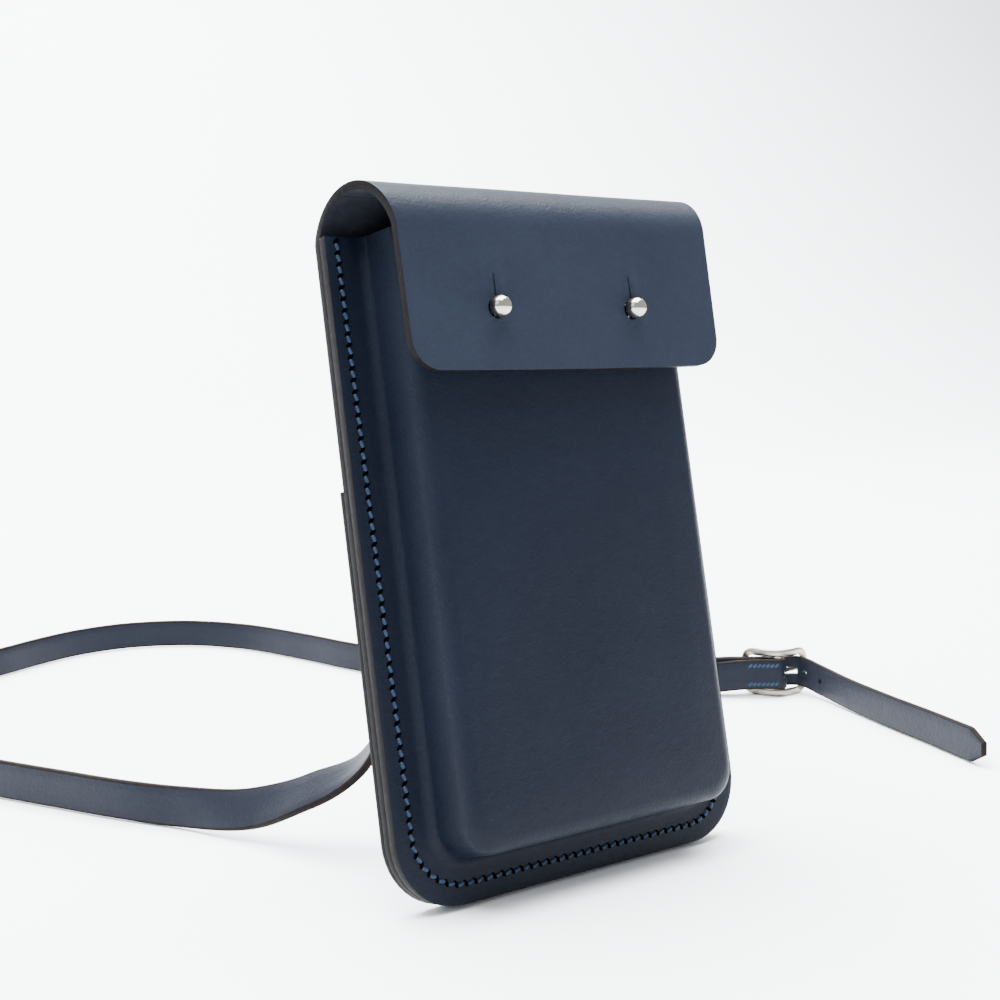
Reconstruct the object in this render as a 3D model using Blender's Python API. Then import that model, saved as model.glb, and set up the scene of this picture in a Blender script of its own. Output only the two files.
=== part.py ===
"""Phone wallet case with a curled flap, a rear card pocket and a buckled shoulder strap."""
import math

import bmesh
import bpy
from mathutils import Matrix, Vector

MM = 0.001

# Case body, in millimetres: u is across, v is up the case, w is forward from the back face.
CASE_WIDTH = 117.0
CASE_CORNER = 18.0
LEATHER = 2.4
GAP = 0.3
LEAN_DEG = 10.7
POCKET_THICK = 1.4
POCKET_TOP = 107.0
SHELL_TOP = 172.0
FLANGE_INNER = LEATHER + GAP
FLANGE_FRONT = FLANGE_INNER + LEATHER
BOX_FRONT = 20.5
CREASE_INSET = 11.4
RIDGE_INSET = 14.0
FLAT_INSET = 22.0
CREASE_RADIUS = 2.5
RIDGE_RADIUS = 5.0
BOX_CORNER = 8.0
STITCH_INSET = 4.2
THREAD_RADIUS = 0.35

# Curl and flap.
CURL_RADIUS = 13.4
CURL_BASE = 170.6
CURL_SPLIT_REAR = 35.0
CURL_SPLIT_FRONT = 125.0
FLAP_HALF = 52.8
FLAP_SHIFT = 2.0
FLAP_BOTTOM = 133.3
FLAP_CORNER = 8.0

# Ball studs.
STUD_U = 23.2
STUD_V = 149.1
BALL_RADIUS = 3.0
BALL_CENTRE = 28.7
NECK_RADIUS = 1.5
POST_RADIUS = 1.2
BASE_RADIUS = 3.6
KEYHOLE_HALF = 3.3
KEYHOLE_UP = 3.5
KEYHOLE_DOWN = 5.8
SLIT_LENGTH = 8.0
SLIT_HALF = 0.3

# Loop on the back that carries the strap.
LOOP_HALF = 12.0
LOOP_CENTRE = 129.0
LOOP_OPEN = 7.6
LOOP_FOOT = 19.6
LOOP_STANDOFF = 3.5
LOOP_THICK = 2.0
RIVET_OFFSET = 15.2
RIVET_RADIUS = 3.0
RIVET_POST = 1.0

# Strap and buckle.
STRAP_WIDTH = 12.0
STRAP_THICK = 2.2
STRAP_FLOOR = 6.3
TIP_LENGTH = 7.0
BUCKLE_X = 203.5
BUCKLE_Y = 114.5
BUCKLE_Z = 9.4
BUCKLE_HEADING = (0.785, -0.619)
FRAME_HALF_LENGTH = 11.8
FRAME_HALF_HEIGHT = 8.0
FRAME_ROUND = 3.0
FRAME_BOW = 9.0
FRAME_SECTION = (1.4, 1.0)
BAR_RADIUS = 1.25
FOLD_RADIUS = BAR_RADIUS + GAP + STRAP_THICK / 2
TURN_BACK = 27.0
BILLET_OFFSET = FOLD_RADIUS + STRAP_THICK + GAP
STITCH_ROW = 3.7
HOLE_RADIUS = 1.3
HOLE_STEP = 11.0
FIRST_HOLE = 112.0
OPEN_HOLES = (0, 1, 3, 4)

LEAN = math.radians(LEAN_DEG)
BASE_LIFT = (POCKET_THICK + GAP) * math.sin(LEAN)
CENTRE_SHIFT = 7.94


def clear_scene():
    for item in list(bpy.data.objects):
        bpy.data.objects.remove(item, do_unlink=True)


def place(u, v, w):
    """Turn case coordinates in millimetres into the leaning world position in metres."""
    y = v * math.sin(LEAN) - w * math.cos(LEAN)
    z = v * math.cos(LEAN) + w * math.sin(LEAN) + BASE_LIFT
    return Vector((u, y, z)) * MM


def beside_buckle(along, toward, height):
    """Turn buckle coordinates in millimetres into the world position in metres."""
    sx, sy = BUCKLE_HEADING
    x = BUCKLE_X + along * sx + toward * sy
    y = BUCKLE_Y + along * sy - toward * sx
    return Vector((x, y, BUCKLE_Z + height)) * MM


def centre_over_origin():
    """Move every piece so that the case's box is centred over the origin."""
    for item in bpy.data.objects:
        item.data.transform(Matrix.Translation((0.0, -CENTRE_SHIFT * MM, 0.0)))


def material(name, colour, metallic, roughness):
    mat = bpy.data.materials.new(name)
    mat.use_nodes = True
    shader = mat.node_tree.nodes["Principled BSDF"]
    shader.inputs["Base Color"].default_value = (*colour, 1.0)
    shader.inputs["Metallic"].default_value = metallic
    shader.inputs["Roughness"].default_value = roughness
    return mat


LEATHER_LOOK = ((0.035, 0.045, 0.062), 0.0, 0.5)
THREAD_LOOK = ((0.07, 0.17, 0.32), 0.0, 0.7)
NICKEL_LOOK = ((0.78, 0.75, 0.70), 1.0, 0.2)


def make_object(name, points, faces, look):
    mesh = bpy.data.meshes.new(name)
    mesh.from_pydata([tuple(p) for p in points], [], faces)
    mesh.validate()
    item = bpy.data.objects.new(name, mesh)
    bpy.context.scene.collection.objects.link(item)
    if look is not None:
        mesh.materials.append(material(name + "_finish", *look))
    orient_outward(mesh)
    return item


def orient_outward(mesh):
    work = bmesh.new()
    work.from_mesh(mesh)
    bmesh.ops.recalc_face_normals(work, faces=work.faces)
    if work.calc_volume(signed=True) < 0:
        bmesh.ops.reverse_faces(work, faces=work.faces)
    work.to_mesh(mesh)
    work.free()


def make_cutter(name, groups, target):
    """Cut the closed solids in groups out of target."""
    points = []
    faces = []
    for solid_points, solid_faces in groups:
        start = len(points)
        points.extend(solid_points)
        faces.extend([[start + i for i in face] for face in solid_faces])
    cutter = make_object(name, points, faces, None)
    cutter.hide_render = True
    cutter.display_type = 'WIRE'
    cut = target.modifiers.new(name, 'BOOLEAN')
    cut.operation = 'DIFFERENCE'
    cut.solver = 'EXACT'
    cut.object = cutter


def thick_grid(outer, inner):
    """Close two matching grids of points into one slab."""
    rows = len(outer)
    cols = len(outer[0])
    points = [p for row in outer for p in row] + [p for row in inner for p in row]
    half = rows * cols
    faces = []
    for r in range(rows - 1):
        for c in range(cols - 1):
            a = r * cols + c
            quad = [a, a + 1, a + cols + 1, a + cols]
            faces.append(quad)
            faces.append([half + i for i in reversed(quad)])
    rim = [c for c in range(cols)]
    rim += [r * cols + cols - 1 for r in range(1, rows)]
    rim += [(rows - 1) * cols + c for c in range(cols - 2, -1, -1)]
    rim += [r * cols for r in range(rows - 2, 0, -1)]
    for i, a in enumerate(rim):
        b = rim[(i + 1) % len(rim)]
        faces.append([a, half + a, half + b, b])
    return points, faces


def loft(sections):
    """Join closed rings of points into a capped tube."""
    count = len(sections[0])
    points = [p for ring in sections for p in ring]
    faces = []
    for r in range(len(sections) - 1):
        for c in range(count):
            a = r * count + c
            b = r * count + (c + 1) % count
            faces.append([a, b, b + count, a + count])
    last = (len(sections) - 1) * count
    faces.append(list(reversed(range(count))))
    faces.append([last + c for c in range(count)])
    return points, faces


def rounded_path(corners, radii, steps):
    """Round the inner corners of a 2D polyline with arcs."""
    path = [Vector(corners[0])]
    for i in range(1, len(corners) - 1):
        here = Vector(corners[i])
        back = (Vector(corners[i - 1]) - here).normalized()
        ahead = (Vector(corners[i + 1]) - here).normalized()
        half = back.angle(ahead) / 2
        reach = radii[i - 1] / math.tan(half)
        centre = here + (back + ahead).normalized() * radii[i - 1] / math.sin(half)
        start = here + back * reach - centre
        turn = math.pi - 2 * half
        if back.x * ahead.y - back.y * ahead.x > 0:
            turn = -turn
        for k in range(steps + 1):
            angle = turn * k / steps
            across = Vector((-start.y, start.x))
            path.append(centre + start * math.cos(angle) + across * math.sin(angle))
    path.append(Vector(corners[-1]))
    return path


def path_normals(path):
    """Left-hand normals of a 2D path, mitred at its points."""
    normals = []
    for i in range(len(path)):
        ahead = path[min(i + 1, len(path) - 1)] - path[i]
        back = path[i] - path[max(i - 1, 0)]
        run = Vector((0.0, 0.0))
        for leg in (ahead, back):
            if leg.length > 1e-6:
                run += leg.normalized()
        run.normalize()
        normals.append(Vector((-run.y, run.x)))
    return normals


# ---------------------------------------------------------------- leather of the case

def curl_point(angle_deg, depth):
    """Point on the curl; depth is measured inward from the outer face."""
    angle = math.radians(angle_deg)
    radius = CURL_RADIUS - depth
    return CURL_RADIUS - radius * math.cos(angle), CURL_BASE + radius * math.sin(angle)


def half_width(angle_deg):
    share = min(max(angle_deg / 180.0, 0.0), 1.0)
    return CASE_WIDTH / 2 + (FLAP_HALF - CASE_WIDTH / 2) * share, FLAP_SHIFT * share


def width_row(half, shift, v_w, cols=13):
    v, w = v_w
    return [place(shift - half + 2 * half * c / (cols - 1), v, w) for c in range(cols)]


def corner_half(full, radius, rise):
    if rise >= radius:
        return full
    return full - radius + math.sqrt(max(radius ** 2 - (radius - rise) ** 2, 0.0))


def corner_rises(radius, steps=8):
    return [radius * (1 - math.cos(math.pi / 2 * k / steps)) for k in range(steps + 1)]


def curl_rows(start_deg, end_deg, steps):
    outer = []
    inner = []
    for k in range(steps + 1):
        angle = start_deg + (end_deg - start_deg) * k / steps
        half, shift = half_width(angle)
        for rows, depth in ((outer, 0.0), (inner, LEATHER)):
            w, v = curl_point(angle, depth)
            rows.append(width_row(half, shift, (v, w)))
    return outer, inner


def split_margin():
    return math.degrees(GAP / 2 / CURL_RADIUS)


def flat_rows(heights, w, full=CASE_WIDTH / 2):
    return [width_row(corner_half(full, CASE_CORNER, v), 0.0, (v, w)) for v in heights]


def build_back_panel():
    heights = corner_rises(CASE_CORNER) + [60.0, 100.0, 112.0, 142.0]
    outer = flat_rows(heights, 0.0)
    inner = flat_rows(heights, LEATHER)
    curl_outer, curl_inner = curl_rows(0.0, CURL_SPLIT_REAR - split_margin(), 6)
    points, faces = thick_grid(outer + curl_outer, inner + curl_inner)
    return make_object("back_panel", points, faces, LEATHER_LOOK)


def build_flap_curl():
    outer, inner = curl_rows(CURL_SPLIT_REAR + split_margin(), CURL_SPLIT_FRONT - split_margin(), 12)
    points, faces = thick_grid(outer, inner)
    return make_object("flap_curl", points, faces, LEATHER_LOOK)


def build_flap_front():
    outer, inner = curl_rows(CURL_SPLIT_FRONT + split_margin(), 180.0, 8)
    heights = [160.0, 150.0] + [FLAP_BOTTOM + rise for rise in reversed(corner_rises(FLAP_CORNER))]
    for v in heights:
        half = corner_half(FLAP_HALF, FLAP_CORNER, v - FLAP_BOTTOM)
        for rows, depth in ((outer, 0.0), (inner, LEATHER)):
            rows.append(width_row(half, FLAP_SHIFT, (v, 2 * CURL_RADIUS - depth)))
    points, faces = thick_grid(outer, inner)
    flap = make_object("flap_front", points, faces, LEATHER_LOOK)
    make_cutter("keyhole_cutter", [keyhole(-STUD_U), keyhole(STUD_U)], flap)


def keyhole(u):
    """Long hole with a slit above it, as a prism through the flap."""
    outline = []
    steps = 10
    for k in range(steps + 1):
        angle = math.pi + math.pi * k / steps
        low = STUD_V - KEYHOLE_DOWN + KEYHOLE_HALF
        outline.append((u + KEYHOLE_HALF * math.cos(angle), low + KEYHOLE_HALF * math.sin(angle)))
    high = STUD_V + KEYHOLE_UP - KEYHOLE_HALF
    side = math.asin(SLIT_HALF / KEYHOLE_HALF)
    for k in range(steps // 2 + 1):
        angle = (math.pi / 2 - side) * k / (steps // 2)
        outline.append((u + KEYHOLE_HALF * math.cos(angle), high + KEYHOLE_HALF * math.sin(angle)))
    outline.append((u + SLIT_HALF, high + KEYHOLE_HALF + SLIT_LENGTH))
    outline.append((u - SLIT_HALF, high + KEYHOLE_HALF + SLIT_LENGTH))
    for k in range(steps // 2 + 1):
        angle = math.pi / 2 + side + (math.pi / 2 - side) * k / (steps // 2)
        outline.append((u + KEYHOLE_HALF * math.cos(angle), high + KEYHOLE_HALF * math.sin(angle)))
    ends = (2 * CURL_RADIUS - LEATHER - 1.0, 2 * CURL_RADIUS + 1.0)
    return loft([[place(a, v, w) for a, v in outline] for w in ends])


def build_card_pocket():
    heights = corner_rises(CASE_CORNER) + [60.0, POCKET_TOP]
    outer = flat_rows(heights, -GAP - POCKET_THICK)
    inner = flat_rows(heights, -GAP)
    points, faces = thick_grid(outer, inner)
    make_object("card_pocket", points, faces, LEATHER_LOOK)


def u_ring(inset, corner_steps=8):
    """Outline of the pocket shape, open at the top, moved inward by inset."""
    share = min(inset / RIDGE_INSET, 1.0)
    radius = CASE_CORNER + (BOX_CORNER - CASE_CORNER) * share
    edge = CASE_WIDTH / 2 - inset
    ring = [(-edge, SHELL_TOP), (-edge, 120.0), (-edge, 70.0)]
    for k in range(corner_steps + 1):
        angle = math.pi + math.pi / 2 * k / corner_steps
        ring.append((-edge + radius + radius * math.cos(angle), inset + radius + radius * math.sin(angle)))
    mirrored = [(-u, v) for u, v in reversed(ring)]
    return ring + mirrored


def build_front_shell():
    corners = [(0.0, FLANGE_FRONT), (CREASE_INSET, FLANGE_FRONT), (RIDGE_INSET, BOX_FRONT),
               (FLAT_INSET, BOX_FRONT)]
    outer_path = rounded_path(corners, [CREASE_RADIUS, RIDGE_RADIUS], 6)
    normals = path_normals(outer_path)
    inner_path = [p - n * LEATHER for p, n in zip(outer_path, normals)]
    sides = []
    for path in (outer_path, inner_path):
        sides.append([[place(u, v, p.y) for u, v in u_ring(p.x)] for p in path])
    points, faces = thick_grid(sides[0], sides[1])
    rows = len(outer_path)
    cols = len(sides[0][0])
    half = rows * cols
    last = (rows - 1) * cols
    inner_edge = [last + c for c in range(cols)]
    walls = {frozenset((a, b)) for a, b in zip(inner_edge, inner_edge[1:])}
    kept = []
    for face in faces:
        low = [i for i in face if i < half]
        if len(low) == 2 and frozenset(low) in walls:
            continue
        kept.append(face)
    kept.append(inner_edge)
    kept.append([half + i for i in reversed(inner_edge)])
    kept.append([inner_edge[0], inner_edge[-1], half + inner_edge[-1], half + inner_edge[0]])
    shell = make_object("front_shell", points, kept, LEATHER_LOOK)
    holes = [rod(side * STUD_U, STUD_V, BOX_FRONT - LEATHER - 1, BOX_FRONT + 1, POST_RADIUS + GAP)
             for side in (-1, 1)]
    make_cutter("stud_hole_cutter", holes, shell)


def rod(u, v, w_start, w_end, radius, sides=20):
    """Straight rod along w."""
    rings = []
    for w in (w_start, w_end):
        ring = []
        for k in range(sides):
            angle = 2 * math.pi * k / sides
            ring.append(place(u + radius * math.cos(angle), v + radius * math.sin(angle), w))
        rings.append(ring)
    return loft(rings)


def turned(name, u, v, profile, look, sides=24):
    """Solid turned about an axis along w; profile lists (radius, w)."""
    rings = []
    for radius, w in profile:
        ring = []
        for k in range(sides):
            angle = 2 * math.pi * k / sides
            ring.append(place(u + radius * math.cos(angle), v + radius * math.sin(angle), w))
        rings.append(ring)
    points, faces = loft(rings)
    return make_object(name, points, faces, look)


def build_studs():
    base = BOX_FRONT + GAP
    neck_top = BALL_CENTRE - math.sqrt(BALL_RADIUS ** 2 - NECK_RADIUS ** 2)
    profile = [(POST_RADIUS, BOX_FRONT - LEATHER), (POST_RADIUS, base)]
    profile += [(BASE_RADIUS, base), (BASE_RADIUS, base + 0.6), (BASE_RADIUS - 0.6, base + 1.1)]
    profile += [(NECK_RADIUS, base + 1.5), (NECK_RADIUS, neck_top)]
    start = math.pi - math.asin(NECK_RADIUS / BALL_RADIUS)
    steps = 14
    for k in range(1, steps):
        angle = start * (1 - k / steps)
        profile.append((BALL_RADIUS * math.sin(angle), BALL_CENTRE + BALL_RADIUS * math.cos(angle)))
    profile.append((0.35, BALL_CENTRE + BALL_RADIUS - 0.03))
    screw_top = BOX_FRONT - LEATHER - GAP
    screw = [(0.9, screw_top - 0.5), (0.9, screw_top - 1.3), (BASE_RADIUS - 0.4, screw_top - 1.3),
             (BASE_RADIUS, screw_top - 0.8), (BASE_RADIUS, screw_top), (0.5, screw_top)]
    for side, word in ((-1, "left"), (1, "right")):
        turned("stud_head_" + word, side * STUD_U, STUD_V, profile, NICKEL_LOOK)
        turned("stud_screw_" + word, side * STUD_U, STUD_V, screw, NICKEL_LOOK)


def tube(path, radius, sides=8):
    """Round thread along a 3D path in metres."""
    rings = []
    for i, here in enumerate(path):
        ahead = path[min(i + 1, len(path) - 1)]
        back = path[max(i - 1, 0)]
        run = (ahead - back).normalized()
        side = run.cross(Vector((0.31, 0.72, 0.62))).normalized()
        other = run.cross(side).normalized()
        ring = []
        for k in range(sides):
            angle = 2 * math.pi * k / sides
            ring.append(here + (side * math.cos(angle) + other * math.sin(angle)) * radius * MM)
        rings.append(ring)
    return loft(rings)


def build_seam_threads():
    front = FLANGE_FRONT + GAP + THREAD_RADIUS
    rear_low = -GAP - POCKET_THICK - GAP - THREAD_RADIUS
    rear_high = -GAP - THREAD_RADIUS
    ring = fine_ring(STITCH_INSET)
    path = [place(u, v, front) for u, v in ring]
    points, faces = tube(path, THREAD_RADIUS)
    make_object("seam_thread_front", points, faces, THREAD_LOOK)
    path = []
    for u, v in ring:
        rise = min(max((v - POCKET_TOP - 9.0) / 6.0, 0.0), 1.0)
        path.append(place(u, v, rear_low + (rear_high - rear_low) * rise))
    points, faces = tube(path, THREAD_RADIUS)
    make_object("seam_thread_rear", points, faces, THREAD_LOOK)


def fine_ring(inset):
    """The open-topped outline with extra points along its straight sides."""
    ring = u_ring(inset, 12)
    fine = []
    for (u0, v0), (u1, v1) in zip(ring, ring[1:]):
        count = max(1, int(math.hypot(u1 - u0, v1 - v0) / 8.0))
        for k in range(count):
            fine.append((u0 + (u1 - u0) * k / count, v0 + (v1 - v0) * k / count))
    fine.append(ring[-1])
    return [(u, min(v, SHELL_TOP - 1.0)) for u, v in fine]


# ---------------------------------------------------------------- loop on the back

def build_back_loop(panel):
    low = -GAP
    high = -GAP - LOOP_STANDOFF
    corners = [(LOOP_CENTRE - LOOP_FOOT, low), (LOOP_CENTRE - LOOP_OPEN - 2.6, low),
               (LOOP_CENTRE - LOOP_OPEN, high), (LOOP_CENTRE + LOOP_OPEN, high),
               (LOOP_CENTRE + LOOP_OPEN + 2.6, low), (LOOP_CENTRE + LOOP_FOOT, low)]
    inner_path = rounded_path(corners, [2.4, 0.4, 0.4, 2.4], 3)
    normals = path_normals(inner_path)
    outer_path = [p - n * LOOP_THICK for p, n in zip(inner_path, normals)]
    rows = []
    for path in (outer_path, inner_path):
        rows.append([[place(u, p.x, p.y) for u in (-LOOP_HALF, 0.0, LOOP_HALF)] for p in path])
    points, faces = thick_grid(rows[0], rows[1])
    loop = make_object("back_loop", points, faces, LEATHER_LOOK)
    holes = [rod(0.0, LOOP_CENTRE + side * RIVET_OFFSET, -4.0, 4.0, RIVET_POST + GAP) for side in (-1, 1)]
    make_cutter("loop_hole_cutter", holes, loop)
    make_cutter("panel_hole_cutter", holes, panel)
    cap = -GAP - LOOP_THICK - GAP
    back = LEATHER + GAP
    profile = [(0.8, cap - 1.3), (RIVET_RADIUS - 1.2, cap - 1.1), (RIVET_RADIUS - 0.2, cap - 0.6),
               (RIVET_RADIUS, cap), (RIVET_POST, cap), (RIVET_POST, back), (RIVET_RADIUS, back),
               (RIVET_RADIUS - 0.2, back + 0.6), (0.8, back + 0.8)]
    for side, word in ((-1, "lower"), (1, "upper")):
        turned("loop_rivet_" + word, 0.0, LOOP_CENTRE + side * RIVET_OFFSET, profile, NICKEL_LOOK)


# ---------------------------------------------------------------- strap and buckle

def spline(points, per_span):
    """Centripetal Catmull-Rom curve through the points, as (position, span, share) samples."""
    ends = [points[0] * 2 - points[1]] + points + [points[-1] * 2 - points[-2]]
    curve = []
    for i in range(1, len(ends) - 2):
        p = ends[i - 1:i + 3]
        t = [0.0]
        for a, b in zip(p, p[1:]):
            t.append(t[-1] + math.sqrt((b - a).length))
        for k in range(per_span):
            share = k / per_span
            x = t[1] + (t[2] - t[1]) * share
            a1 = p[0] * ((t[1] - x) / (t[1] - t[0])) + p[1] * ((x - t[0]) / (t[1] - t[0]))
            a2 = p[1] * ((t[2] - x) / (t[2] - t[1])) + p[2] * ((x - t[1]) / (t[2] - t[1]))
            a3 = p[2] * ((t[3] - x) / (t[3] - t[2])) + p[3] * ((x - t[2]) / (t[3] - t[2]))
            b1 = a1 * ((t[2] - x) / (t[2] - t[0])) + a2 * ((x - t[0]) / (t[2] - t[0]))
            b2 = a2 * ((t[3] - x) / (t[3] - t[1])) + a3 * ((x - t[1]) / (t[3] - t[1]))
            point = b1 * ((t[2] - x) / (t[2] - t[1])) + b2 * ((x - t[1]) / (t[2] - t[1]))
            curve.append((point, i - 1, share))
    curve.append((points[-1], len(points) - 1, 0.0))
    return curve


def strap_stations():
    """Control stations of the strap: position and the direction its width points in."""
    upright = Vector((0.0, 0.0, 1.0))
    up_case = Vector((0.0, math.sin(LEAN), math.cos(LEAN)))
    stations = [(beside_buckle(-TURN_BACK, -FOLD_RADIUS, 0.0), upright),
                (beside_buckle(-TURN_BACK / 2, -FOLD_RADIUS, 0.0), upright)]
    for k in range(9):
        angle = math.pi * k / 8
        along = FOLD_RADIUS * math.sin(angle)
        toward = -FOLD_RADIUS * math.cos(angle)
        stations.append((beside_buckle(along, toward, 0.0), upright))
    stations.append((beside_buckle(-12.0, FOLD_RADIUS, 0.0), upright))
    world = [((176.0, 135.0, 7.0), (0.0, 0.1, 1.0)), ((145.0, 134.0, 8.5), (0.0, 0.25, 1.0)),
             ((104.0, 115.0, 24.0), (0.2, 0.55, 0.85)), ((72.0, 84.0, 56.0), (0.3, 0.8, 0.6)),
             ((50.0, 55.0, 94.0), (0.1, 0.75, 0.7)), ((34.0, 37.0, 117.0), (0.0, 0.4, 0.92))]
    stations += [(Vector(p) * MM, Vector(d)) for p, d in world]
    strap_w = -GAP - LOOP_STANDOFF / 2
    for u in (15.0, 0.0, -15.0):
        stations.append((place(u, LOOP_CENTRE, strap_w), up_case))
    world = [((-28.0, 33.0, 119.0), (0.0, 0.6, 0.8)), ((-36.0, 40.0, 97.0), (0.0, 0.97, 0.3)),
             ((-35.0, 40.5, 68.0), (0.25, 0.95, 0.0)), ((-31.0, 43.0, 42.0), (0.6, 0.75, 0.1)),
             ((-35.0, 50.5, 25.5), (0.6, 0.75, 0.3)), ((-45.5, 63.0, 16.5), (0.5, 0.55, 0.67)),
             ((-54.0, 82.0, 9.0), (0.33, 0.22, 0.93)), ((-64.3, 106.0, STRAP_FLOOR), (0.12, 0.05, 1.0))]
    stations += [(Vector(p) * MM, Vector(d)) for p, d in world]
    floor = [(-74.7, 125.2), (-84.3, 148.1), (-94.2, 172.6), (-105.0, 205.0), (-114.0, 243.0),
             (-116.0, 280.0), (-103.0, 314.0), (-78.0, 338.0), (-50.0, 352.0), (-24.9, 363.4),
             (-1.6, 376.8), (21.7, 386.6), (46.0, 388.5), (70.0, 377.0), (87.0, 350.0), (95.5, 310.0),
             (101.0, 268.0), (115.0, 222.0), (137.0, 180.0)]
    stations += [(Vector((x, y, STRAP_FLOOR)) * MM, upright) for x, y in floor]
    stations.append((Vector((168.0, 148.0, 7.2)) * MM, upright))
    for along in (-22.0, -10.0, 0.0, 9.5):
        stations.append((beside_buckle(along, -BILLET_OFFSET, -0.2), upright))
    tail = [((212.2, 98.5, 7.6), upright), ((205.3, 79.5, 6.6), upright), ((194.6, 51.0, STRAP_FLOOR), upright),
            ((185.0, 24.0, STRAP_FLOOR), upright), ((177.0, 3.0, STRAP_FLOOR), upright),
            ((173.5, -6.5, STRAP_FLOOR), upright)]
    stations += [(Vector(p) * MM, d) for p, d in tail]
    return stations


def strap_frames(per_span=6):
    """Position, width direction and face normal along the whole strap."""
    stations = strap_stations()
    samples = spline([p for p, d in stations], per_span)
    frames = []
    for i, (point, span, share) in enumerate(samples):
        ahead = samples[min(i + 1, len(samples) - 1)][0]
        back = samples[max(i - 1, 0)][0]
        run = (ahead - back).normalized()
        hint = stations[span][1].normalized()
        if span + 1 < len(stations):
            smooth = share * share * (3 - 2 * share)
            hint = hint.lerp(stations[span + 1][1].normalized(), smooth)
        width = (hint - run * hint.dot(run)).normalized()
        frames.append((point, width, run.cross(width).normalized()))
    return frames


def strap_lengths(frames):
    lengths = [0.0]
    for a, b in zip(frames, frames[1:]):
        lengths.append(lengths[-1] + (b[0] - a[0]).length / MM)
    return lengths


def build_strap():
    frames = strap_frames()
    lengths = strap_lengths(frames)
    total = lengths[-1]
    rings = []
    for (point, width, normal), run in zip(frames, lengths):
        narrow = 0.4 + 0.6 * min((total - run) / TIP_LENGTH, 1.0)
        across = width * (STRAP_WIDTH / 2 * narrow * MM)
        through = normal * (STRAP_THICK / 2 * MM)
        rings.append([point + across + through, point - across + through,
                      point - across - through, point + across - through])
    points, faces = loft(rings)
    strap = make_object("shoulder_strap", points, faces, LEATHER_LOOK)
    cuts = [block(-4.6, 4.8, -BILLET_OFFSET + 1.3, 4.4, 1.7),
            block(0.0, 8.6, -BILLET_OFFSET - 2, -BILLET_OFFSET + 1.2, 1.7)]
    for k in OPEN_HOLES:
        wanted = total - FIRST_HOLE - HOLE_STEP * k
        index = min(range(len(lengths)), key=lambda i: abs(lengths[i] - wanted))
        cuts.append(hole_rod(*frames[index]))
    make_cutter("strap_hole_cutter", cuts, strap)
    return frames


def block(a0, a1, n0, n1, half_height):
    """Box in buckle coordinates."""
    rings = []
    for along in (a0, a1):
        rings.append([beside_buckle(along, n0, -half_height), beside_buckle(along, n1, -half_height),
                      beside_buckle(along, n1, half_height), beside_buckle(along, n0, half_height)])
    return loft(rings)


def hole_rod(point, width, normal, sides=12):
    run = width.cross(normal).normalized()
    rings = []
    for shift in (-3.0, 3.0):
        ring = []
        for k in range(sides):
            angle = 2 * math.pi * k / sides
            ring.append(point + (normal * shift + (run * math.cos(angle) + width * math.sin(angle))
                                 * HOLE_RADIUS) * MM)
        rings.append(ring)
    return loft(rings)


def build_fold_stitches():
    toward = FOLD_RADIUS + STRAP_THICK / 2 + GAP + THREAD_RADIUS
    for height, word in ((STITCH_ROW, "upper"), (-STITCH_ROW, "lower")):
        path = [beside_buckle(along, toward, height) for along in (-12.0, -9.0, -6.0, -3.0)]
        points, faces = tube(path, THREAD_RADIUS)
        make_object("fold_stitch_" + word, points, faces, THREAD_LOOK)


def frame_path(per_corner=8):
    """Rounded rectangle of the buckle frame in (along, height)."""
    a = FRAME_HALF_LENGTH - FRAME_ROUND
    h = FRAME_HALF_HEIGHT - FRAME_ROUND
    path = []
    for centre, start in (((a, h), 0.0), ((-a, h), 90.0), ((-a, -h), 180.0), ((a, -h), 270.0)):
        for k in range(per_corner + 1):
            angle = math.radians(start + 90.0 * k / per_corner)
            path.append((centre[0] + FRAME_ROUND * math.cos(angle), centre[1] + FRAME_ROUND * math.sin(angle)))
        if start in (0.0, 180.0):
            sign = 1 if start == 0.0 else -1
            path += [(sign * x, sign * FRAME_HALF_HEIGHT) for x in (a * 0.6, 0.0, -a * 0.6)]
    return path


def build_buckle():
    path = frame_path()
    sides = 10
    count = len(path)
    points = []
    for i, (along, height) in enumerate(path):
        ahead = Vector(path[(i + 1) % count])
        back = Vector(path[i - 1])
        run = (ahead - back).normalized()
        out = Vector((run.y, -run.x))
        bow = -FRAME_BOW * (along / FRAME_HALF_LENGTH) ** 2
        for k in range(sides):
            angle = 2 * math.pi * k / sides
            across = FRAME_SECTION[0] * math.cos(angle)
            through = FRAME_SECTION[1] * math.sin(angle)
            points.append(beside_buckle(along + out.x * across, bow + through, height + out.y * across))
    faces = []
    for i in range(count):
        for k in range(sides):
            a = i * sides + k
            b = i * sides + (k + 1) % sides
            c = ((i + 1) % count) * sides + (k + 1) % sides
            d = ((i + 1) % count) * sides + k
            faces.append([a, b, c, d])
    make_object("buckle_frame", points, faces, NICKEL_LOOK)
    reach = FRAME_HALF_HEIGHT - FRAME_SECTION[0] - GAP
    bar = tube([beside_buckle(0.0, 0.0, h) for h in (-reach, 0.0, reach)], BAR_RADIUS, 16)
    make_object("buckle_bar", bar[0], bar[1], NICKEL_LOOK)
    build_prong()


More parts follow.
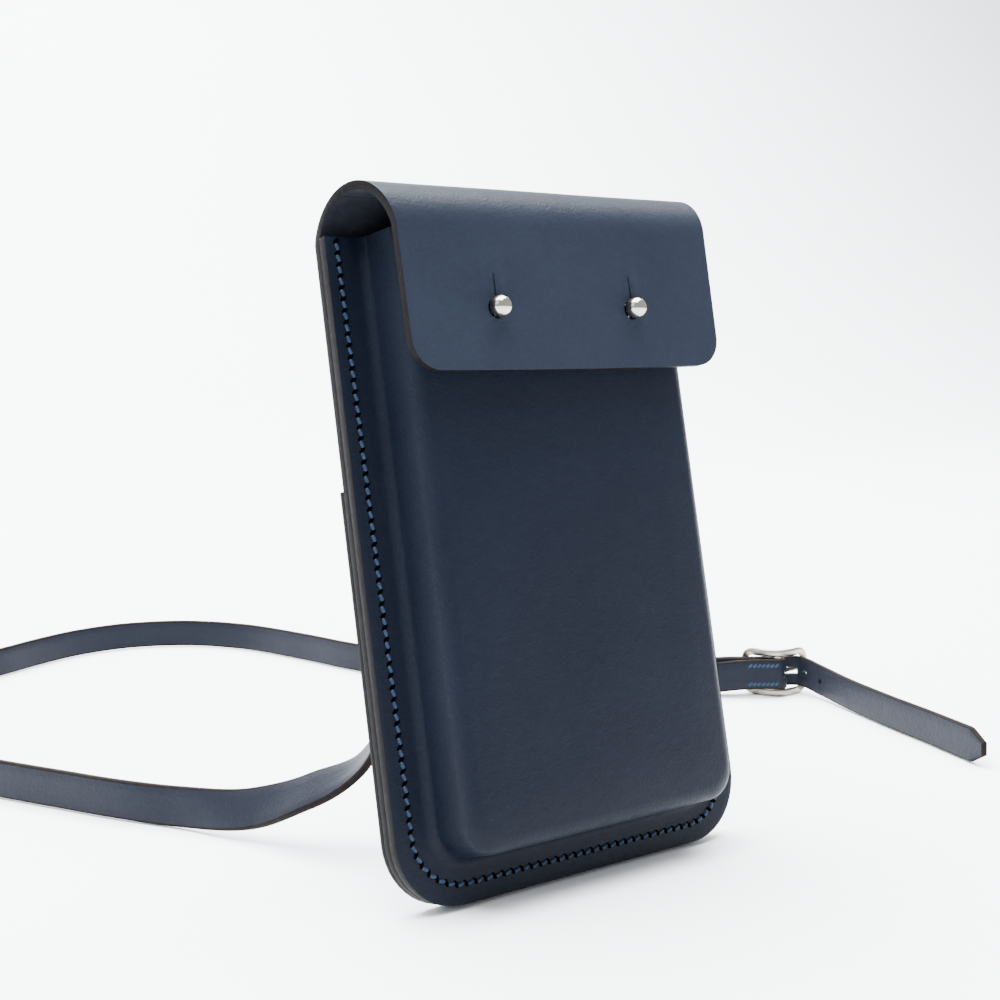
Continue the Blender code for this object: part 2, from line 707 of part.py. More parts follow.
def build_prong():
    """Flat ring round the bar with a pin that passes through the strap."""
    inner = BAR_RADIUS + GAP
    outer = inner + 1.5
    half = 1.1
    sides = 24
    points = []
    for k in range(sides):
        angle = 2 * math.pi * k / sides
        for radius, height in ((inner, -half), (outer, -half), (outer, half), (inner, half)):
            points.append(beside_buckle(radius * math.cos(angle), radius * math.sin(angle), height))
    faces = []
    for k in range(sides):
        nxt = (k + 1) % sides
        for c in range(4):
            d = (c + 1) % 4
            faces.append([k * 4 + c, k * 4 + d, nxt * 4 + d, nxt * 4 + c])
    prong = make_object("buckle_prong", points, faces, NICKEL_LOOK)
    stations = [Vector(p) for p in ((0.6, -2.3), (3.2, -4.6), (6.0, -7.6), (9.4, -10.8), (13.6, -12.0))]
    rings = []
    for i, here in enumerate(stations):
        ahead = stations[min(i + 1, len(stations) - 1)]
        back = stations[max(i - 1, 0)]
        run = (ahead - back).normalized()
        side = Vector((-run.y, run.x))
        ring = []
        for k in range(10):
            angle = 2 * math.pi * k / 10
            flat = here + side * 0.8 * math.cos(angle)
            ring.append(beside_buckle(flat.x, flat.y, 0.95 * math.sin(angle)))
        rings.append(ring)
    pin = make_object("prong_pin_tool", *loft(rings), None)
    pin.hide_render = True
    pin.display_type = 'WIRE'
    join = prong.modifiers.new("pin", 'BOOLEAN')
    join.operation = 'UNION'
    join.solver = 'EXACT'
    join.object = pin


clear_scene()
panel_object = build_back_panel()
build_flap_curl()
build_flap_front()
build_front_shell()
build_card_pocket()
build_seam_threads()
build_studs()
build_back_loop(panel_object)
build_strap()
build_fold_stitches()
build_buckle()
centre_over_origin()
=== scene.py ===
"""Looks of the phone wallet case: leather, thread, nickel, strap, studio and camera."""
import math

import bmesh
import bpy
from mathutils import Matrix, Vector, noise


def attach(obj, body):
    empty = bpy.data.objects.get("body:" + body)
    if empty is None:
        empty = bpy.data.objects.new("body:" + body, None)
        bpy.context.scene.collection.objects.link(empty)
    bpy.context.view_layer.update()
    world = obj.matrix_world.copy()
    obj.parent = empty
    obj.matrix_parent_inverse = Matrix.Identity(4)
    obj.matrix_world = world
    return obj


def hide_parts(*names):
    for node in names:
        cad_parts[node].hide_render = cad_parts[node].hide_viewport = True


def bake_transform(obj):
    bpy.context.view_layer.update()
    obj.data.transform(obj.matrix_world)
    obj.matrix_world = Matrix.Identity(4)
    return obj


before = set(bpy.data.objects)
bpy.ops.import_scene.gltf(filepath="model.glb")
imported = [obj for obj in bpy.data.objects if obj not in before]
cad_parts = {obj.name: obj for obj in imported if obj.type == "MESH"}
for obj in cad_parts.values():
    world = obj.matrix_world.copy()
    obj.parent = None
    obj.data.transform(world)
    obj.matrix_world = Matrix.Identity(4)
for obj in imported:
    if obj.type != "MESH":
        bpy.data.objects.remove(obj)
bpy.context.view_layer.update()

MM = 0.001

# Sizes of the case, in millimetres: u across, v up the case, w forward from its back face.
CASE_WIDTH = 117.0
CASE_CORNER = 18.0
LEATHER = 2.4
SHELL_THICK = 2.66
GAP = 0.3
POCKET_THICK = 1.4
POCKET_TOP = 107.0
SHELL_TOP = 172.0
FLANGE_FRONT = 2 * LEATHER + GAP
BOX_FRONT = 20.5
BOX_CORNER = 8.0
CREASE_INSET = 11.4
RIDGE_INSET = 12.9
STITCH_INSET = 4.2
STITCH_PITCH = 3.0
STITCH_RINGS = 8
CURL_RADIUS = 13.4
CURL_BASE = 170.6
FLAP_HALF = 52.8
FLAP_SHIFT = 2.0
FLAP_BOTTOM = 133.3
FLAP_CORNER = 8.0
STUD_U = 23.2
STUD_V = 149.1
KEYHOLE_RADIUS = 2.75
SLIT_HALF = 0.23
SLIT_LENGTH = 6.3
BALL_RADIUS = 3.0
BALL_CENTRE = 28.8
LOOP_CENTRE = 129.0
LOOP_STANDOFF = 3.5
LEAN = math.radians(10.7)
BASE_LIFT = (POCKET_THICK + GAP) * math.sin(LEAN)
CENTRE_SHIFT = 7.94

# Sizes of the strap and its buckle, in millimetres.
STRAP_WIDTH = 12.0
STRAP_THICK = 2.2
STRAP_FLOOR = 6.3
TIP_LENGTH = 7.0
BUCKLE_SPOT = (203.5, 114.5 - CENTRE_SHIFT, 9.4)
BUCKLE_HEADING = (0.785, -0.619)
FOLD_RADIUS = 2.65
BEND_STEPS = 8
TURN_BACK = 27.0
BILLET_OFFSET = FOLD_RADIUS + STRAP_THICK + GAP
STITCH_ROW = 3.7
HOLE_RADIUS = 1.3
HOLE_STEP = 11.0
FIRST_HOLE = 112.0
OPEN_HOLES = (0, 1, 3, 4)
HOLE_SIDES = 20
FOLD_SLOT_HALF = 1.6
BILLET_SLOT = (-0.4, 9.0)
BILLET_SLOT_HALF = 1.45
FRAME_HALF_LENGTH = 11.8
FRAME_HALF_HEIGHT = 8.0
FRAME_ROUND = 3.0
FRAME_BOW = 9.0
FRAME_WIDE = 1.5
FRAME_DEEP = 0.95
FRAME_SIDES = 20
FRAME_FLATNESS = 0.7

# Camera, in millimetres and degrees.
CAMERA_SPOT = (-270.66, -325.22 - CENTRE_SHIFT, 140.68)
CAMERA_AZIMUTH = 38.21
CAMERA_PITCH = 3.92
CAMERA_ROLL = -0.54
CAMERA_LENS = 57.38
CAMERA_SENSOR = 36.0
CAMERA_SHIFT = (-0.0274, -0.0400)

# Light, in watts; the world light is a plain strength.
WORLD_STRENGTH = 1.15
OVERHEAD_POWER = 680.0
WALL_POWER = 140.0
LEFT_POWER = 5.0

# Floor sweep, in metres: flat at first, then rising far behind.
SWEEP_ROWS = 160
SWEEP_START = -8.0
SWEEP_DEPTH = 11.0
SWEEP_HALF_WIDTH = 9.0
SWEEP_RISE_FROM = 1.0
SWEEP_RISE = 0.55
SWEEP_BELOW = 0.0002


def place(u, v, w):
    y = v * math.sin(LEAN) - w * math.cos(LEAN) - CENTRE_SHIFT
    z = v * math.cos(LEAN) + w * math.sin(LEAN) + BASE_LIFT
    return Vector((u, y, z)) * MM


def case_direction(u, v, w):
    return (place(u, v, w) - place(0.0, 0.0, 0.0)).normalized()


def beside_buckle(along, toward, height):
    sx, sy = BUCKLE_HEADING
    x = BUCKLE_SPOT[0] + along * sx + toward * sy
    y = BUCKLE_SPOT[1] + along * sy - toward * sx
    return Vector((x, y, BUCKLE_SPOT[2] + height)) * MM


# ---------------------------------------------------------------- camera

def add_camera():
    data = bpy.data.cameras.new("camera")
    data.lens = CAMERA_LENS
    data.sensor_width = CAMERA_SENSOR
    data.shift_x, data.shift_y = CAMERA_SHIFT
    data.clip_start = 0.01
    data.clip_end = 20.0
    camera = bpy.data.objects.new("camera", data)
    bpy.context.scene.collection.objects.link(camera)
    azimuth = math.radians(CAMERA_AZIMUTH)
    pitch = math.radians(CAMERA_PITCH)
    roll = math.radians(CAMERA_ROLL)
    look = Vector((math.sin(azimuth) * math.cos(pitch), math.cos(azimuth) * math.cos(pitch),
                   -math.sin(pitch)))
    level = Vector((math.cos(azimuth), -math.sin(azimuth), 0.0))
    upright = level.cross(look)
    right = level * math.cos(roll) + upright * math.sin(roll)
    top = upright * math.cos(roll) - level * math.sin(roll)
    turn = Matrix((right, top, -look)).transposed().to_4x4()
    camera.matrix_world = Matrix.Translation(Vector(CAMERA_SPOT) * MM) @ turn
    bpy.context.scene.camera = camera


add_camera()


# ---------------------------------------------------------------- materials

class Shader:
    """A node material built up in short calls."""

    def __init__(self, name):
        self.mat = bpy.data.materials.new(name)
        self.mat.use_nodes = True
        self.tree = self.mat.node_tree
        self.bsdf = self.tree.nodes["Principled BSDF"]
        self.place = self.tree.nodes.new("ShaderNodeTexCoord").outputs["Object"]

    def node(self, kind, **inputs):
        made = self.tree.nodes.new("ShaderNode" + kind)
        for key, value in inputs.items():
            made.inputs[key.replace("_", " ")].default_value = value
        return made

    def link(self, source, target):
        self.tree.links.new(source, target)

    def noise(self, scale, detail=4.0, roughness=0.55):
        made = self.node("TexNoise", Scale=scale, Detail=detail, Roughness=roughness)
        self.link(self.place, made.inputs["Vector"])
        return made.outputs["Fac"]

    def cells(self, scale):
        made = self.node("TexVoronoi", Scale=scale)
        made.feature = 'SMOOTH_F1'
        self.link(self.place, made.inputs["Vector"])
        return made.outputs["Distance"]

    def ramp(self, factor, stops):
        made = self.tree.nodes.new("ShaderNodeValToRGB")
        band = made.color_ramp
        while len(band.elements) < len(stops):
            band.elements.new(0.5)
        for element, (position, colour) in zip(band.elements, stops):
            element.position = position
            element.color = (*colour, 1.0)
        self.link(factor, made.inputs["Fac"])
        return made.outputs["Color"]

    def spread(self, factor, low, high):
        made = self.node("MapRange")
        made.inputs["To Min"].default_value = low
        made.inputs["To Max"].default_value = high
        self.link(factor, made.inputs["Value"])
        return made.outputs["Result"]

    def blend(self, factor, first, second):
        made = self.tree.nodes.new("ShaderNodeMix")
        made.data_type = 'RGBA'
        colours = [s for s in made.inputs if s.type == 'RGBA']
        self.link(factor, made.inputs["Factor"])
        for socket, value in zip(colours, (first, second)):
            if isinstance(value, tuple):
                socket.default_value = (*value, 1.0)
            else:
                self.link(value, socket)
        return [s for s in made.outputs if s.type == 'RGBA'][0]

    def bump(self, heights):
        """Stack bumps; heights lists (factor, strength, distance)."""
        normal = None
        for factor, strength, distance in heights:
            made = self.node("Bump", Strength=strength, Distance=distance)
            self.link(factor, made.inputs["Height"])
            if normal is not None:
                self.link(normal, made.inputs["Normal"])
            normal = made.outputs["Normal"]
        self.link(normal, self.bsdf.inputs["Normal"])

    def set(self, **inputs):
        for key, value in inputs.items():
            socket = self.bsdf.inputs[key.replace("_", " ")]
            if hasattr(value, "is_linked"):
                self.link(value, socket)
            else:
                socket.default_value = value


def grain_leather(name, dark, light, rough=(0.40, 0.52)):
    """Smooth dyed leather: cloudy colour, fine pores and faint creases."""
    s = Shader(name)
    cloud = s.noise(22.0, 3.0)
    mottled = s.ramp(cloud, [(0.3, dark), (0.7, light)])
    speck = s.noise(1500.0, 2.0)
    colour = s.blend(s.spread(speck, 0.0, 0.48), mottled, tuple(c * 1.7 for c in light))
    s.set(Base_Color=colour, Roughness=s.spread(s.noise(260.0, 4.0), *rough))
    s.set(Specular_IOR_Level=0.075, Sheen_Weight=0.004, Sheen_Roughness=0.5)
    s.bump([(s.cells(1500.0), 0.45, 0.00016), (s.noise(2400.0, 3.0), 0.40, 0.00014),
            (s.noise(420.0, 3.0), 0.32, 0.00028), (s.noise(60.0, 2.0), 0.12, 0.0008)])
    return s.mat


def edge_leather(name, dark, light):
    """Burnished cut edge: streaky, browner and a little fibrous."""
    s = Shader(name)
    streak = s.noise(500.0, 5.0, 0.7)
    colour = s.ramp(streak, [(0.3, dark), (0.75, light)])
    s.set(Base_Color=colour, Roughness=s.spread(s.noise(900.0), 0.5, 0.72))
    s.set(Specular_IOR_Level=0.05)
    s.bump([(s.noise(1400.0, 5.0, 0.7), 0.35, 0.0002)])
    return s.mat


def flesh_leather(name, dark, light):
    """Inner face: matt and fibrous."""
    s = Shader(name)
    colour = s.ramp(s.noise(420.0, 6.0, 0.7), [(0.3, dark), (0.7, light)])
    s.set(Base_Color=colour, Roughness=0.85, Specular_IOR_Level=0.08, Sheen_Weight=0.02)
    s.bump([(s.noise(1100.0, 5.0), 0.35, 0.0003)])
    return s.mat


def waxed_thread(name, dark, light):
    s = Shader(name)
    colour = s.ramp(s.noise(1800.0, 3.0), [(0.3, dark), (0.7, light)])
    twist = s.node("TexWave", Scale=900.0, Distortion=1.0)
    s.link(s.place, twist.inputs["Vector"])
    s.set(Base_Color=colour, Roughness=0.55, Specular_IOR_Level=0.2, Sheen_Weight=0.02)
    s.bump([(twist.outputs["Fac"], 0.3, 0.0001)])
    return s.mat


def polished_nickel(name, dark, light, rough):
    s = Shader(name)
    colour = s.ramp(s.noise(90.0, 3.0), [(0.3, dark), (0.7, light)])
    s.set(Base_Color=colour, Metallic=1.0, Roughness=s.spread(s.noise(700.0, 4.0), *rough))
    s.bump([(s.noise(300.0, 3.0), 0.04, 0.0002)])
    return s.mat


# Painted shade: a near-black colour that stands for the shade inside a pricked stitch hole.
def painted_hole_shade(name):
    s = Shader(name)
    colour = s.ramp(s.noise(1500.0), [(0.3, (0.0002, 0.0002, 0.0003)), (0.7, (0.0006, 0.0007, 0.0010))])
    s.set(Base_Color=colour, Roughness=0.9, Specular_IOR_Level=0.0)
    return s.mat


CASE_GRAIN = grain_leather("case_grain", (0.0015, 0.0024, 0.0056), (0.0026, 0.0040, 0.0084))
# Painted light: the same leather as case_grain, coloured lighter for the studio light that falls on the flap
# and curl; the back, pocket and back loop share it.
PAINTED_LIGHT_GRAIN = grain_leather("grain_painted_lighter", (0.0058, 0.0078, 0.0136), (0.0090, 0.0118, 0.0192), (0.38, 0.50))
STRAP_GRAIN = grain_leather("strap_grain", (0.0040, 0.0049, 0.0086), (0.0064, 0.0076, 0.0126))
EDGE = edge_leather("leather_edge", (0.0011, 0.0010, 0.0013), (0.0036, 0.0031, 0.0038))
STRAP_EDGE = edge_leather("strap_edge", (0.0034, 0.0022, 0.0022), (0.0095, 0.0062, 0.0056))
FLESH = flesh_leather("leather_flesh", (0.0030, 0.0038, 0.0062), (0.0070, 0.0084, 0.0125))
THREAD = waxed_thread("blue_thread", (0.0036, 0.0115, 0.028), (0.0085, 0.024, 0.051))
NICKEL = polished_nickel("nickel", (0.30, 0.28, 0.25), (0.40, 0.375, 0.34), (0.05, 0.16))
SATIN = polished_nickel("satin_nickel", (0.26, 0.236, 0.20), (0.34, 0.312, 0.27), (0.26, 0.40))
# Painted shade: nickel coloured near black, so that the prong looks as dark as the shaded gap at the fold.
SHADED = polished_nickel("nickel_painted_shade", (0.045, 0.041, 0.037), (0.07, 0.064, 0.058), (0.3, 0.42))
HOLE_SHADE = painted_hole_shade("stitch_hole_shade")


# ---------------------------------------------------------------- mesh helpers

SHARP_ANGLE = 40.0
BEVEL_STEPS = 2


def make_object(name, points, faces, mats, face_mats=None, sharp=SHARP_ANGLE):
    mesh = bpy.data.meshes.new(name)
    mesh.from_pydata([tuple(p) for p in points], [], faces)
    for mat in mats:
        mesh.materials.append(mat)
    if face_mats is not None:
        mesh.polygons.foreach_set("material_index", face_mats)
    mesh.update()
    item = bpy.data.objects.new(name, mesh)
    bpy.context.scene.collection.objects.link(item)
    work = bmesh.new()
    work.from_mesh(mesh)
    bmesh.ops.recalc_face_normals(work, faces=work.faces)
    if work.calc_volume(signed=True) < 0:
        bmesh.ops.reverse_faces(work, faces=work.faces)
    work.to_mesh(mesh)
    work.free()
    mesh.shade_smooth()
    mesh.set_sharp_from_angle(angle=math.radians(sharp))
    return item


def soften(item, width):
    """Round the sharp edges for good, so that later steps see the final mesh."""
    bevel = item.modifiers.new("soft_edge", 'BEVEL')
    bevel.width = width * MM
    bevel.segments = BEVEL_STEPS
    bevel.limit_method = 'ANGLE'
    bevel.angle_limit = math.radians(SHARP_ANGLE)
    bevel.harden_normals = False
    apply_all(item)
    item.data.shade_smooth()
    item.data.set_sharp_from_angle(angle=math.radians(60.0))


def apply_all(item):
    bpy.context.view_layer.update()
    graph = bpy.context.evaluated_depsgraph_get()
    mesh = bpy.data.meshes.new_from_object(item.evaluated_get(graph))
    item.modifiers.clear()
    item.data = mesh


def carve(item, tools):
    """Cut closed solids, given as (points, faces), out of item for good."""
    points = []
    faces = []
    for tool_points, tool_faces in tools:
        start = len(points)
        points.extend(tool_points)
        faces.extend([[start + i for i in face] for face in tool_faces])
    tool = make_object(item.name + "_tool", points, faces, [])
    cut = item.modifiers.new("cut", 'BOOLEAN')
    cut.operation = 'DIFFERENCE'
    cut.solver = 'EXACT'
    cut.object = tool
    apply_all(item)
    bpy.data.objects.remove(tool, do_unlink=True)
    item.data.shade_smooth()
    item.data.set_sharp_from_angle(angle=math.radians(SHARP_ANGLE))


def thick_grid(outer, inner):
    """Close two matching grids of points into one slab; returns points, faces and face kinds."""
    rows = len(outer)
    cols = len(outer[0])
    points = [p for row in outer for p in row] + [p for row in inner for p in row]
    half = rows * cols
    faces = []
    kinds = []
    for r in range(rows - 1):
        for c in range(cols - 1):
            a = r * cols + c
            quad = [a, a + 1, a + cols + 1, a + cols]
            faces += [quad, [half + i for i in reversed(quad)]]
            kinds += [0, 1]
    rim = list(range(cols))
    rim += [r * cols + cols - 1 for r in range(1, rows)]
    rim += [(rows - 1) * cols + c for c in range(cols - 2, -1, -1)]
    rim += [r * cols for r in range(rows - 2, 0, -1)]
    for i, a in enumerate(rim):
        b = rim[(i + 1) % len(rim)]
        faces.append([a, half + a, half + b, b])
        kinds.append(2)
    return points, faces, kinds


def loft(sections, closed=False):
    """Join closed rings of points into a tube, capped unless its ends meet."""
    count = len(sections[0])
    points = [p for ring in sections for p in ring]
    total = len(sections)
    faces = []
    for r in range(total if closed else total - 1):
        for c in range(count):
            a = r * count + c
            b = r * count + (c + 1) % count
            shift = ((r + 1) % total - r) * count
            faces.append([a, b, b + shift, a + shift])
    if not closed:
        faces.append(list(reversed(range(count))))
        faces.append([(total - 1) * count + c for c in range(count)])
    return points, faces


def rounded_path(corners, radii, steps):
    path = [Vector(corners[0])]
    for i in range(1, len(corners) - 1):
        here = Vector(corners[i])
        back = (Vector(corners[i - 1]) - here).normalized()
        ahead = (Vector(corners[i + 1]) - here).normalized()
        half = back.angle(ahead) / 2
        centre = here + (back + ahead).normalized() * radii[i - 1] / math.sin(half)
        start = here + back * radii[i - 1] / math.tan(half) - centre
        turn = math.pi - 2 * half
        if back.x * ahead.y - back.y * ahead.x > 0:
            turn = -turn
        for k in range(steps + 1):
            angle = turn * k / steps
            path.append(centre + start * math.cos(angle) + Vector((-start.y, start.x)) * math.sin(angle))
    path.append(Vector(corners[-1]))
    return path


def path_normals(path):
    normals = []
    for i in range(len(path)):
        ahead = path[min(i + 1, len(path) - 1)] - path[i]
        back = path[i] - path[max(i - 1, 0)]
        run = Vector((0.0, 0.0))
        for leg in (ahead, back):
            if leg.length > 1e-6:
                run += leg.normalized()
        run.normalize()
        normals.append(Vector((-run.y, run.x)))
    return normals


def bell(distance, width):
    return math.exp(-(distance / width) ** 2)


# ---------------------------------------------------------------- strap

def spline(points, per_span):
    """Smooth curve through the points; gives (point, span, share of the span)."""
    ends = [points[0] * 2 - points[1]] + points + [points[-1] * 2 - points[-2]]
    curve = []
    for i in range(1, len(ends) - 2):
        p = ends[i - 1:i + 3]
        t = [0.0]
        for a, b in zip(p, p[1:]):
            t.append(t[-1] + math.sqrt((b - a).length))
        for k in range(per_span):
            share = k / per_span
            x = t[1] + (t[2] - t[1]) * share
            a1 = p[0] * ((t[1] - x) / (t[1] - t[0])) + p[1] * ((x - t[0]) / (t[1] - t[0]))
            a2 = p[1] * ((t[2] - x) / (t[2] - t[1])) + p[2] * ((x - t[1]) / (t[2] - t[1]))
            a3 = p[2] * ((t[3] - x) / (t[3] - t[2])) + p[3] * ((x - t[2]) / (t[3] - t[2]))
            b1 = a1 * ((t[2] - x) / (t[2] - t[0])) + a2 * ((x - t[0]) / (t[2] - t[0]))
            b2 = a2 * ((t[3] - x) / (t[3] - t[1])) + a3 * ((x - t[1]) / (t[3] - t[1]))
            point = b1 * ((t[2] - x) / (t[2] - t[1])) + b2 * ((x - t[1]) / (t[2] - t[1]))
            curve.append((point, i - 1, share))
    curve.append((points[-1], len(points) - 1, 0.0))
    return curve


def world_stations(rows):
    return [(Vector((x, y - CENTRE_SHIFT, z)) * MM, Vector(d)) for (x, y, z), d in rows]


UPRIGHT = Vector((0.0, 0.0, 1.0))


def tunnel_stations(offsets):
    up_case = Vector((0.0, math.sin(LEAN), math.cos(LEAN)))
    return [(place(u, LOOP_CENTRE, -GAP - LOOP_STANDOFF / 2), up_case) for u in offsets]


def buckle_side_stations():
    """From the tunnel on the back, down to the floor and round the buckle's bar."""
    rows = [((34.0, 37.0, 117.0), (0.0, 0.4, 0.92)), ((50.0, 55.0, 94.0), (0.1, 0.75, 0.7)),
            ((72.0, 84.0, 56.0), (0.3, 0.8, 0.6)), ((104.0, 115.0, 24.0), (0.2, 0.55, 0.85)),
            ((145.0, 134.0, 8.5), (0.0, 0.25, 1.0)), ((176.0, 135.0, 7.0), (0.0, 0.1, 1.0))]
    stations = tunnel_stations((0.0, 15.0)) + world_stations(rows)
    stations.append((beside_buckle(-12.0, FOLD_RADIUS, 0.0), UPRIGHT))
    for k in range(BEND_STEPS + 1):
        angle = math.pi * (1 - k / BEND_STEPS)
        bend = beside_buckle(FOLD_RADIUS * math.sin(angle), -FOLD_RADIUS * math.cos(angle), 0.0)
        stations.append((bend, UPRIGHT))
    for along in (-TURN_BACK / 2, -TURN_BACK):
        stations.append((beside_buckle(along, -FOLD_RADIUS, 0.0), UPRIGHT))
    return stations


def billet_side_stations():
    """From the tunnel, round the floor behind the case and through the buckle to the tip."""
    rows = [((-28.0, 33.0, 119.0), (0.0, 0.6, 0.8)), ((-36.0, 40.0, 97.0), (0.0, 0.97, 0.3)),
            ((-35.0, 40.5, 68.0), (0.25, 0.95, 0.0)), ((-31.0, 43.0, 42.0), (0.6, 0.75, 0.1)),
            ((-35.0, 50.5, 25.5), (0.6, 0.75, 0.3)), ((-45.5, 63.0, 16.5), (0.5, 0.55, 0.67)),
            ((-54.0, 82.0, 9.0), (0.33, 0.22, 0.93)), ((-64.3, 106.0, STRAP_FLOOR), (0.12, 0.05, 1.0))]
    floor = [(-74.7, 125.2), (-84.3, 148.1), (-94.2, 172.6), (-105.0, 205.0), (-114.0, 243.0),
             (-116.0, 280.0), (-103.0, 314.0), (-78.0, 338.0), (-50.0, 352.0), (-24.9, 363.4),
             (-1.6, 376.8), (21.7, 386.6), (46.0, 388.5), (70.0, 377.0), (87.0, 350.0), (95.5, 310.0),
             (101.0, 268.0), (115.0, 222.0), (137.0, 180.0)]
    rows += [((x, y, STRAP_FLOOR), (0.0, 0.0, 1.0)) for x, y in floor]
    rows.append(((168.0, 148.0, 7.2), (0.0, 0.0, 1.0)))
    stations = tunnel_stations((0.0, -15.0)) + world_stations(rows)
    for along in (-22.0, -10.0, 0.0, 9.5):
        stations.append((beside_buckle(along, -BILLET_OFFSET, -0.2), UPRIGHT))
    tail = [(212.2, 98.5, 7.6), (205.3, 79.5, 6.6), (194.6, 51.0, STRAP_FLOOR), (185.0, 24.0, STRAP_FLOOR),
            (177.0, 3.0, STRAP_FLOOR), (173.5, -6.5, STRAP_FLOOR)]
    return stations + world_stations([(spot, (0.0, 0.0, 1.0)) for spot in tail])


def strap_frames(stations, per_span=10):
    samples = spline([p for p, d in stations], per_span)
    frames = []
    for i, (point, span, share) in enumerate(samples):
        run = (samples[min(i + 1, len(samples) - 1)][0] - samples[max(i - 1, 0)][0]).normalized()
        hint = stations[span][1].normalized()
        if span + 1 < len(stations):
            hint = hint.lerp(stations[span + 1][1].normalized(), share * share * (3 - 2 * share))
        width = (hint - run * hint.dot(run)).normalized()
        frames.append((point, width, run.cross(width).normalized()))
    return frames


def strap_lengths(frames):
    lengths = [0.0]
    for a, b in zip(frames, frames[1:]):
        lengths.append(lengths[-1] + (b[0] - a[0]).length / MM)
    return lengths


STRAP_SECTION = [(1.0, 0.45), (0.955, 0.82), (0.87, 1.0), (0.4, 1.0), (0.0, 1.0), (-0.4, 1.0), (-0.87, 1.0),
                 (-0.955, 0.82), (-1.0, 0.45)]


def build_strap(name, stations, pointed, tools):
    frames = strap_frames(stations)
    lengths = strap_lengths(frames)
    total = lengths[-1]
    section = STRAP_SECTION + [(x, -y) for x, y in reversed(STRAP_SECTION)]
    rings = []
    for (point, width, normal), run in zip(frames, lengths):
        narrow = 1.0
        if pointed:
            narrow = 0.4 + 0.6 * min((total - run) / TIP_LENGTH, 1.0)
        ring = []
        for x, y in section:
            aside = width * (x * STRAP_WIDTH / 2 * narrow * MM)
            ring.append(point + aside + normal * (y * STRAP_THICK / 2 * MM))
        rings.append(ring)
    points, faces = loft(rings)
    count = len(section)
    kinds = []
    for face in faces:
        slots = {i % count for i in face}
        flat = len(face) == 4 and all(abs(section[i][1]) == 1.0 for i in slots)
        kinds.append(0 if flat else 1)
    strap = make_object(name, points, faces, [STRAP_GRAIN, STRAP_EDGE], kinds, 50.0)
    carve(strap, tools(frames, lengths))
    path = [tuple(p) for p, width, normal in frames]
    return strap, path, total


def block(a0, a1, n0, n1, half_height):
    """Box beside the buckle, from a0 to a1 along the strap and n0 to n1 through it."""
    rings = []
    for along in (a0, a1):
        rings.append([beside_buckle(along, n0, -half_height), beside_buckle(along, n1, -half_height),
                      beside_buckle(along, n1, half_height), beside_buckle(along, n0, half_height)])
    return loft(rings)


def fold_tools(frames, lengths):
    """Room for the prong inside the fold, open towards the billet and at the bend."""
    low = -BILLET_OFFSET + 1.3
    outline = [(-3.2, low), (4.8, low), (4.8, 1.3), (3.2, 1.3), (3.2, 3.15), (-3.2, 3.15)]
    rings = [[beside_buckle(along, toward, height) for along, toward in outline]
             for height in (-FOLD_SLOT_HALF, FOLD_SLOT_HALF)]
    return [loft(rings)]


def billet_tools(frames, lengths):
    """Slot that the prong passes through, and the round holes in the tail."""
    start, end = BILLET_SLOT
    tools = [block(start, end, -BILLET_OFFSET - 2, -BILLET_OFFSET + 1.2, BILLET_SLOT_HALF)]
    for k in OPEN_HOLES:
        wanted = lengths[-1] - FIRST_HOLE - HOLE_STEP * k
        index = min(range(len(lengths)), key=lambda i: abs(lengths[i] - wanted))
        point, width, normal = frames[index]
        run = width.cross(normal).normalized()
        rings = []
        for shift in (-3.0, 3.0):
            ring = []
            for i in range(HOLE_SIDES):
                a = 2 * math.pi * i / HOLE_SIDES
                outward = (run * math.cos(a) + width * math.sin(a)) * HOLE_RADIUS
                ring.append(point + (normal * shift + outward) * MM)
            rings.append(ring)
        tools.append(loft(rings))
    return tools


buckle_strap, buckle_path, buckle_length = build_strap("strap_buckle_side", buckle_side_stations(), False,
                                                       fold_tools)
billet_strap, billet_path, billet_length = build_strap("strap_billet_side", billet_side_stations(), True,
                                                       billet_tools)
for strap in (buckle_strap, billet_strap):
    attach(strap, "case")
    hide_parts("shoulder_strap")


# ---------------------------------------------------------------- stitches

# Length, width and height of a stitch in the seam, of the painted-shade mark for a pricked hole between
# stitches and of a stitch on the fold.
SEAM_STITCH = (2.35, 0.95, 0.45)
PRICKED_HOLE = (2.5, 1.05, 0.38)
FOLD_STITCH = (2.3, 1.05, 0.42)
SEAM_TILT = 19.0
HOLE_TILT = -50.0
FOLD_TILT = 34.0
FOLD_STITCHES = 7
FOLD_STITCH_START = -0.9
FOLD_STITCH_PITCH = 1.75


def stitch_mesh(spots, size, tilt, sides=8):
    """Fat slanted stitches; spots lists (centre, run, out), tilt is in degrees."""
    length, width, height = size
    tilt = math.radians(tilt)
    points = []
    faces = []
    for centre, run, out in spots:
        across = out.cross(run).normalized()
        lie = (run * math.cos(tilt) + across * math.sin(tilt)).normalized()
        over = out.cross(lie).normalized()
        rings = []
        for k in range(STITCH_RINGS + 1):
            share = -1 + 2 * k / STITCH_RINGS
            fat = math.sqrt(max(1 - abs(share) ** 3, 0.02))
            lift = height * (0.35 - 0.75 * share ** 4)
            middle = centre + lie * (share * length / 2 * MM) + out * (lift * MM)
            ring = []
            for i in range(sides):
                a = 2 * math.pi * i / sides
                aside = over * (math.cos(a) * width / 2 * fat * MM)
                ring.append(middle + aside + out * (math.sin(a) * height * fat * MM))
            rings.append(ring)
        part_points, part_faces = loft(rings)
        start = len(points)
        points.extend(part_points)
        faces.extend([[start + i for i in face] for face in part_faces])
    return points, faces


